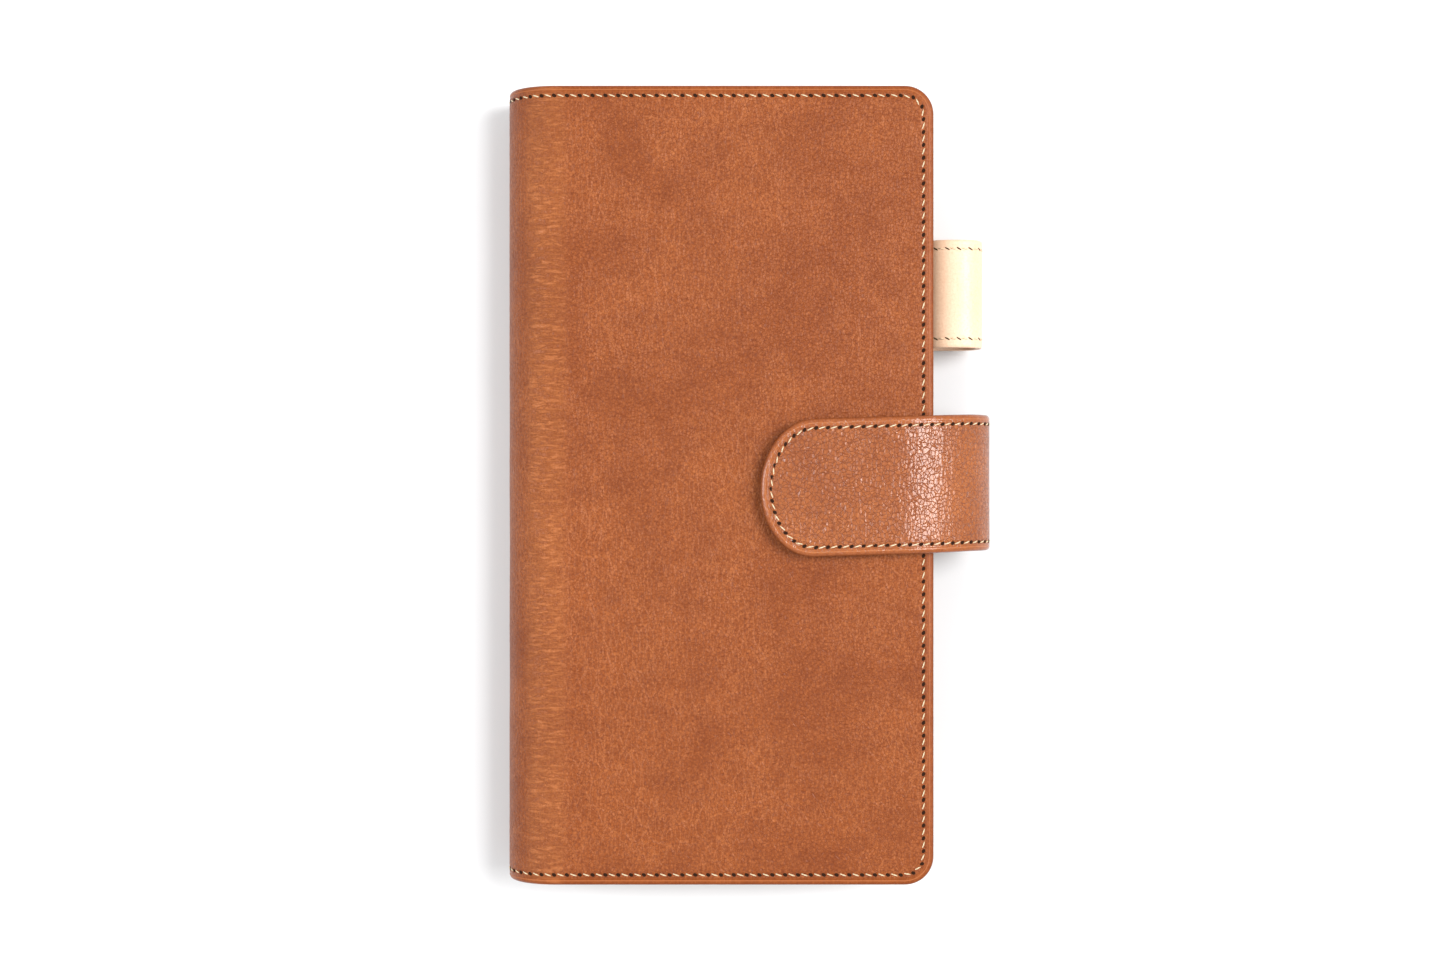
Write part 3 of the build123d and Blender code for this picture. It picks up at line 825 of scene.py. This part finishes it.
# %% Card slots
SHEET_T, CARD_GAP = 0.6, 0.8
CARD_W, CARD_DEPTH, CARD_STEP = 88.0, 52.0, 12.0
HALF_DIVIDER = 1.5              # between the two columns
for tier in (1, 2, 3, 4):
    low, high = span(f"card_slot_{tier}")
    far, mouth, y0, y1 = low[0], high[0], low[1], high[1]
    name = f"card_tier_{tier}"
    panel(name, f"card_slot_{tier}", mouth, far, y0, y1, low[2], SHEET_T, -1, "front_cover", pocket_leather)
    floor_x = max(mouth - CARD_DEPTH, far + 2)
    column_end = HALF_DIVIDER + CARD_W
    lip = mouth - 0.6
    for part, near_x, side_0, side_1 in (("end_top", lip, column_end, y1 - 0.3),
                                         ("middle", lip, -HALF_DIVIDER, HALF_DIVIDER),
                                         ("end_bottom", lip, y0 + 0.3, -column_end),
                                         ("floor_top", floor_x, HALF_DIVIDER, column_end),
                                         ("floor_bottom", floor_x, -column_end, -HALF_DIVIDER)):
        s, y = np.meshgrid(np.linspace(far, near_x, 12), np.linspace(side_0, side_1, 8), indexing="ij")
        rim = closed_sheet(f"{name}_{part}", flat_place(high[2], -1), s, y, CARD_GAP - 0.04 + 0 * s,
                           0.02 + 0 * s, pocket_leather)
        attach(rim, "front_cover")
    back_to = mouth - CARD_STEP if tier < 4 else far + 2.0
    sew_flat(f"{name}_middle", [[mouth - 1.5, 0], [back_to + 0.8, 0]], low[2], -1, "front_cover")
    for side, y in (("top", y1 - 2.2), ("bottom", y0 + 2.2)):
        sew_flat(f"{name}_{side}", [[mouth - 2.2, y], [back_to + 0.8, y]], low[2], -1, "front_cover")
    print("card tier", tier, "mouth at x =", round(float(mouth), 1))

# %% [markdown]
# ### Bill compartment and coin pocket
# Two walls make the coin pocket. The space under it is the bill compartment. The ends are closed by
# gussets: strips folded in a V, with a soft fold instead of a sharp one.

# %% Walls, gussets and spine edges
for name, facing in (("coin_front_wall", 1), ("coin_rear_wall", -1)):
    low, high = span(name)
    z = high[2] if facing > 0 else low[2]
    panel(name + "_leather", name, high[0], low[0], low[1], high[1], z, 0.75, facing, "back_cover",
          pocket_leather)
    loop = [[low[0] + 2, high[1] - 2.2], [high[0] - 2.4, high[1] - 2.2], [high[0] - 2.4, low[1] + 2.2],
            [low[0] + 2, low[1] + 2.2]]
    sew_flat(name, loop, z, facing, "back_cover")


def gusset(node_name, side):
    """A folded strip. Its section is a soft V: the way in is the square root of t squared and a little more, so
    the fold is round. The strip runs along x."""
    low, high = span(node_name)
    out, fold_in = (high[1], low[1] + 1.2) if side > 0 else (-low[1], -high[1] + 1.2)
    middle, half = (low[2] + high[2]) / 2, (high[2] - low[2]) / 2
    x = np.linspace(low[0], high[0], 40)
    t = np.linspace(-1, 1, 25)
    s, t = np.meshgrid(x, t, indexing="ij")
    soft = (np.sqrt(t * t + 0.03) - np.sqrt(0.03)) / (np.sqrt(1.03) - np.sqrt(0.03))

    def place(s, t, h):
        s, t, h = np.broadcast_arrays(s, t, h)
        y = side * (fold_in + (out - fold_in) * soft - h + 0.06 * np.sin(s / 4.5))
        return np.stack([s, y, middle + t * half * 0.99], -1)

    piece = closed_sheet(node_name + "_leather", place, s, t, 0 * s, 1.05 + 0 * s, lining_leather)
    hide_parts(node_name)
    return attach(piece, "back_cover")


for kind in ("bill", "coin"):
    gusset(f"{kind}_gusset_top", 1)
    gusset(f"{kind}_gusset_bottom", -1)
    low, high = span(f"{kind}_spine_edge")
    z, y = np.meshgrid(np.linspace(low[2] + 0.02, high[2] - 0.02, 9), np.linspace(low[1], high[1], 60),
                       indexing="ij")
    bulge = 0.35 * np.sin(pi * (z - low[2]) / (high[2] - low[2]))

    def upright(s, y, h, x=low[0]):
        return np.stack(np.broadcast_arrays(x - np.asarray(h), y, s), -1)

    edge_strip = closed_sheet(f"{kind}_spine_edge_leather", upright, z, y, bulge, bulge - 0.78, pocket_leather)
    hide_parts(f"{kind}_spine_edge")
    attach(edge_strip, "back_cover")

# %% [markdown]
# ### The zip
# A tape is a herringbone ribbon sewn along the wall and turned up at the mouth. The coil is one nylon wire
# wound in an oval helix, so it is made as a tube along a helix: the radius of the winding turns with an
# angle while the angle's share of the pitch carries it along.


# %% Zip tapes
def tape_material():
    """Herringbone twill: a slanted wave whose slant changes side every few millimetres across the tape."""
    material, tree, shader = new_material("zip_tape", 0.85, Sheen_Weight=0.35, Specular_IOR_Level=0.2)
    where = node(tree, "ShaderNodeUVMap", uv_map="sheet").outputs[0]
    parts = node(tree, "ShaderNodeSeparateXYZ", [("Vector", where)])
    zigzag = math_node(tree, "PINGPONG", parts.outputs[0], 0.015)
    run = math_node(tree, "ADD", times(tree, parts.outputs[1], 900.0),
                    times(tree, zigzag, 900.0))
    rib = math_node(tree, "MULTIPLY_ADD", math_node(tree, "SINE", run), 0.5)
    tree.nodes[-1].inputs[2].default_value = 0.5
    colour = blend_colours(tree, rib, rgb(66, 40, 26), rgb(104, 66, 44))
    wear = ramp(tree, noise(tree, where, 60.0), 0.3, 0.7, 0.0, 0.3)
    colour = blend_colours(tree, wear, colour, rgb(128, 88, 60))
    tree.links.new(colour, shader.inputs["Base Color"])
    add_bump(tree, shader, rib, 0.5, 0.0002)
    return material


zip_tape = tape_material()
for name, facing in (("rear", 1), ("front", -1)):
    low, high = span(f"zip_tape_{name}")
    wall_z = low[2] if facing > 0 else high[2]
    rise = high[2] - low[2]
    bend_r, lip_x = 0.9, high[0]
    flat = lip_x - bend_r - low[0]
    turn_run = bend_r * pi / 2

    def tape_place(s, y, h):
        """Flat along the wall, a quarter turn, then up to the coil. h is measured towards the pocket's inside."""
        s, y, h = np.broadcast_arrays(s, y, h)
        a = np.clip((s - flat) / bend_r, 0, pi / 2)
        up = np.clip(s - flat - turn_run, 0, None)
        x = low[0] + np.clip(s, None, flat) + (bend_r - h) * np.sin(a)
        z = bend_r - (bend_r - h) * np.cos(a) + up
        return np.stack([x, y, wall_z + facing * z], -1)

    rows = np.concatenate([np.linspace(0, flat, 12), np.linspace(flat, flat + turn_run, 7)[1:],
                           np.linspace(flat + turn_run, flat + turn_run + rise - bend_r, 5)[1:]])
    s, y = np.meshgrid(rows, np.linspace(low[1], high[1], 90), indexing="ij")
    tape = closed_sheet(f"zip_tape_{name}_cloth", tape_place, s, y, 0.02 + 0 * s, 0.48 + 0 * s, zip_tape)
    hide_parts(f"zip_tape_{name}")
    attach(tape, "back_cover")

# %% Zip coil
coil_nylon, tree, shader = new_material("coil_nylon", 0.35, Specular_IOR_Level=0.5, Coat_Weight=0.2)
where = node(tree, "ShaderNodeTexCoord").outputs["Object"]
tone = ramp(tree, noise(tree, where, 900.0), 0.35, 0.65)
tree.links.new(blend_colours(tree, tone, rgb(84, 54, 36), rgb(118, 80, 54)), shader.inputs["Base Color"])
WIRE = 0.21
for name, hand in (("rear", 1), ("front", -1)):
    low, high = span(f"zip_coil_{name}")
    centre, size = (low + high) / 2, (high - low) / 2
    turns = int((high[1] - low[1]) / 1.25)
    a = np.linspace(0, 2 * pi * turns, turns * 10 + 1)
    line = np.stack([centre[0] + (size[0] - WIRE) * np.cos(a),
                     low[1] + WIRE + (high[1] - low[1] - 2 * WIRE) * a / a[-1],
                     centre[2] + hand * (size[2] - WIRE) * np.sin(a)], -1)
    ahead = np.gradient(line, axis=0)
    ahead /= np.linalg.norm(ahead, axis=1)[:, None]
    out = line - centre * [1, 0, 1] - line * [0, 1, 0]
    out -= ahead * (out * ahead).sum(1)[:, None]
    out /= np.linalg.norm(out, axis=1)[:, None]
    beside = np.cross(ahead, out)
    v = np.linspace(0, 2 * pi, 7)[:-1]
    points = line[:, None] + WIRE * (out[:, None] * np.cos(v)[:, None] + beside[:, None] * np.sin(v)[:, None])
    i = np.arange(len(line) * 6).reshape(-1, 6)
    ring = np.concatenate([i, i[:, :1]], 1)
    faces = np.stack([ring[:-1, :-1], ring[1:, :-1], ring[1:, 1:], ring[:-1, 1:]], -1).reshape(-1, 4)
    caps = np.concatenate([np.stack([i[e, [0, 1, 2, 3]], i[e, [3, 4, 5, 0]]]) for e in (0, -1)])
    coil = make_piece(f"zip_coil_{name}_wire", points.reshape(-1, 3), np.concatenate([faces, caps]), coil_nylon,
                      sharp=80)
    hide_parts(f"zip_coil_{name}")
    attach(coil, "back_cover")

# %% [markdown]
# ### Metal
# The slider, pull, stops and snap keep their CAD shapes. They need only a finish: cast and tumbled brass,
# warm, a little uneven, with fine scratches where it is handled.

# %% Brass on the CAD's own pieces
brass, tree, shader = new_material("old_brass", 0.28, Metallic=1.0)
where = node(tree, "ShaderNodeTexCoord").outputs["Object"]
cloud = noise(tree, where, 350.0, 4.0)
scratch = noise(tree, stretch(tree, where, (1.0, 0.06, 1.0), (0.3, 0.2, 0.5)), 4500.0, 2.0)
colour = blend_colours(tree, ramp(tree, cloud, 0.35, 0.65), rgb(196, 158, 96), rgb(226, 192, 128))
colour = blend_colours(tree, ramp(tree, scratch, 0.58, 0.7, 0.0, 0.5), colour, rgb(150, 116, 66))
tree.links.new(colour, shader.inputs["Base Color"])
tree.links.new(ramp(tree, cloud, 0.3, 0.7, 0.2, 0.4), shader.inputs["Roughness"])
add_bump(tree, shader, scratch, 0.25, 0.00005)
for name in ("zip_slider", "zip_pull", "zip_stop_top", "zip_stop_bottom", "snap_stud", "snap_stud_rivet",
             "snap_socket", "snap_cap"):
    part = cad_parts[name]
    part.data.materials.clear()
    part.data.materials.append(brass)

# %% [markdown]
# ## Floor, light and camera
# The wallet lies on a white table under three soft lights, with a pale room all round. Two stand on its
# fore-edge side, and the lower of them is kept out of reflections. One stands on the spine's side. The
# camera looks straight down from about half a metre, and its lens makes the cover nearly fill the height of
# the frame.

# %% Floor
floor_material, tree, shader = new_material("white_table", 0.8, Specular_IOR_Level=0.1)
where = node(tree, "ShaderNodeTexCoord").outputs["Object"]
tree.links.new(blend_colours(tree, noise(tree, where, 30.0), rgb(216, 217, 218), rgb(220, 220, 221)),
               shader.inputs["Base Color"])
reach = 3000.0
table_z = -0.2                  # just under the lowest swell of the back cover's leather
corners = [(x * reach, y * reach, table_z) for x, y in ((-1, -1), (1, -1), (1, 1), (-1, 1))]
floor = make_piece("table_top", corners, [(0, 1, 2, 3)], floor_material, smooth=False)


# %% Lights and room
def soft_light(name, place, aim, size, power, colour=(1, 1, 1)):
    """A square area light at a place in metres, turned to face the aim."""
    data = bpy.data.lights.new(name, "AREA")
    data.shape, data.size, data.size_y = "RECTANGLE", size[0], size[1]
    data.energy, data.color = power, colour
    light = bpy.data.objects.new(name, data)
    bpy.context.scene.collection.objects.link(light)
    from mathutils import Vector
    light.location = place
    light.rotation_euler = (Vector(aim) - Vector(place)).to_track_quat("-Z", "Y").to_euler()
    return light


soft_light("fore_edge_softbox", (0.59, 0.15, 1.13), (0, 0, 0), (0.62, 0.45), 13)
low_light = soft_light("low_softbox", (0.99, 0.22, 0.85), (0, 0, 0), (0.45, 0.75), 8)
low_light.visible_glossy = False
soft_light("spine_softbox", (-0.95, 0.05, 1.05), (0, 0, 0), (0.5, 1.1), 13.5)
world = bpy.data.worlds.new("pale_room")
world.use_nodes = True
world.node_tree.nodes["Background"].inputs[0].default_value = (1, 1, 1, 1)
world.node_tree.nodes["Background"].inputs[1].default_value = 0.65
bpy.context.scene.world = world

# %% Camera
camera_data = bpy.data.cameras.new("camera")
camera_data.lens, camera_data.sensor_width = 53.15, 36
camera_data.clip_start, camera_data.clip_end = 0.01, 20
camera = bpy.data.objects.new("camera", camera_data)
bpy.context.scene.collection.objects.link(camera)
camera.location = (-0.0066, 0.0009, 0.544)
bpy.context.scene.camera = camera
bpy.context.scene.view_settings.view_transform = "Standard"
